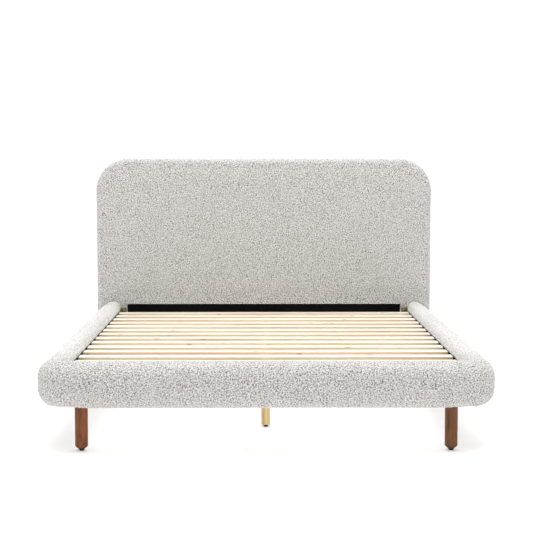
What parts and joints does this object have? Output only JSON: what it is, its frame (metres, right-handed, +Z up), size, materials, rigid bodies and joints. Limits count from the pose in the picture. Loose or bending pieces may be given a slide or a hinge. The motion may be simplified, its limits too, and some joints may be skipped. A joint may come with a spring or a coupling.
{
  "type": "upholstered bed frame",
  "caption": "Platform bed frame with a boucle-covered padded headboard, rails and footboard, a wooden slat deck, round tapered wooden legs and centre legs on levelling feet.",
  "frame": {"origin": "on the floor under the middle of the bed's bounding box", "axes": "+Y towards the head end, +X to the right of someone at the foot end, +Z up"},
  "size_m": [1.8, 2.228, 1.11],
  "materials": {
    "boucle": "off-white boucle, looped yarn",
    "black_lining": "plywood and batten under black non-woven lining",
    "plywood": "bare plywood",
    "pine": "planed pale pine",
    "walnut": "satin walnut",
    "zinc": "yellow zinc plate",
    "black_steel": "black powder coat",
    "black_plastic": "matt black"
  },
  "bodies": {
    "bed_frame": {"beam_saddle_foot": "black_steel", "beam_saddle_head": "black_steel", "centre_beam": "pine", "centre_leg_1": "pine", "centre_leg_2": "pine", "centre_leg_3": "pine", "corner_bracket_foot_left": "zinc", "corner_bracket_foot_right": "zinc", "corner_bracket_head_left": "zinc", "corner_bracket_head_right": "zinc", "foot_bolt_left_1": "zinc", "foot_bolt_left_2": "zinc", "foot_bolt_right_1": "zinc", "foot_bolt_right_2": "zinc", "footboard_core": "black_lining", "footboard_upholstery": "boucle", "glide_foot_left": "black_plastic", "glide_foot_right": "black_plastic", "glide_head_left": "black_plastic", "glide_head_right": "black_plastic", "head_bolt_left_1": "zinc", "head_bolt_left_2": "zinc", "head_bolt_right_1": "zinc", "head_bolt_right_2": "zinc", "headboard_back_panel": "boucle", "headboard_bottom_rail": "pine", "headboard_front_panel": "plywood", "headboard_lining_board": "black_lining", "headboard_lower_rail": "pine", "headboard_post_left": "pine", "headboard_post_right": "pine", "headboard_top_rail": "pine", "headboard_upholstery": "boucle", "leg_foot_left": "walnut", "leg_foot_right": "walnut", "leg_head_left": "walnut", "leg_head_right": "walnut", "side_rail_core_left": "black_lining", "side_rail_core_right": "black_lining", "side_rail_upholstery_left": "boucle", "side_rail_upholstery_right": "boucle", "slat_01": "pine", "slat_02": "pine", "slat_03": "pine", "slat_04": "pine", "slat_05": "pine", "slat_06": "pine", "slat_07": "pine", "slat_08": "pine", "slat_09": "pine", "slat_10": "pine", "slat_11": "pine", "slat_12": "pine", "slat_13": "pine", "slat_14": "pine", "slat_ledge_left": "black_lining", "slat_ledge_right": "black_lining"},
    "levelling_foot_1": {"levelling_foot_1": "black_plastic"},
    "levelling_foot_2": {"levelling_foot_2": "black_plastic"},
    "levelling_foot_3": {"levelling_foot_3": "black_plastic"}
  },
  "joints": [
    {"name": "levelling_foot_1_screw", "type": "slide", "parent": "bed_frame", "child": "levelling_foot_1", "axis": [0, 0, -1], "range_m": [0, 0.012]},
    {"name": "levelling_foot_2_screw", "type": "slide", "parent": "bed_frame", "child": "levelling_foot_2", "axis": [0, 0, -1], "range_m": [0, 0.012]},
    {"name": "levelling_foot_3_screw", "type": "slide", "parent": "bed_frame", "child": "levelling_foot_3", "axis": [0, 0, -1], "range_m": [0, 0.012]}
  ]
}
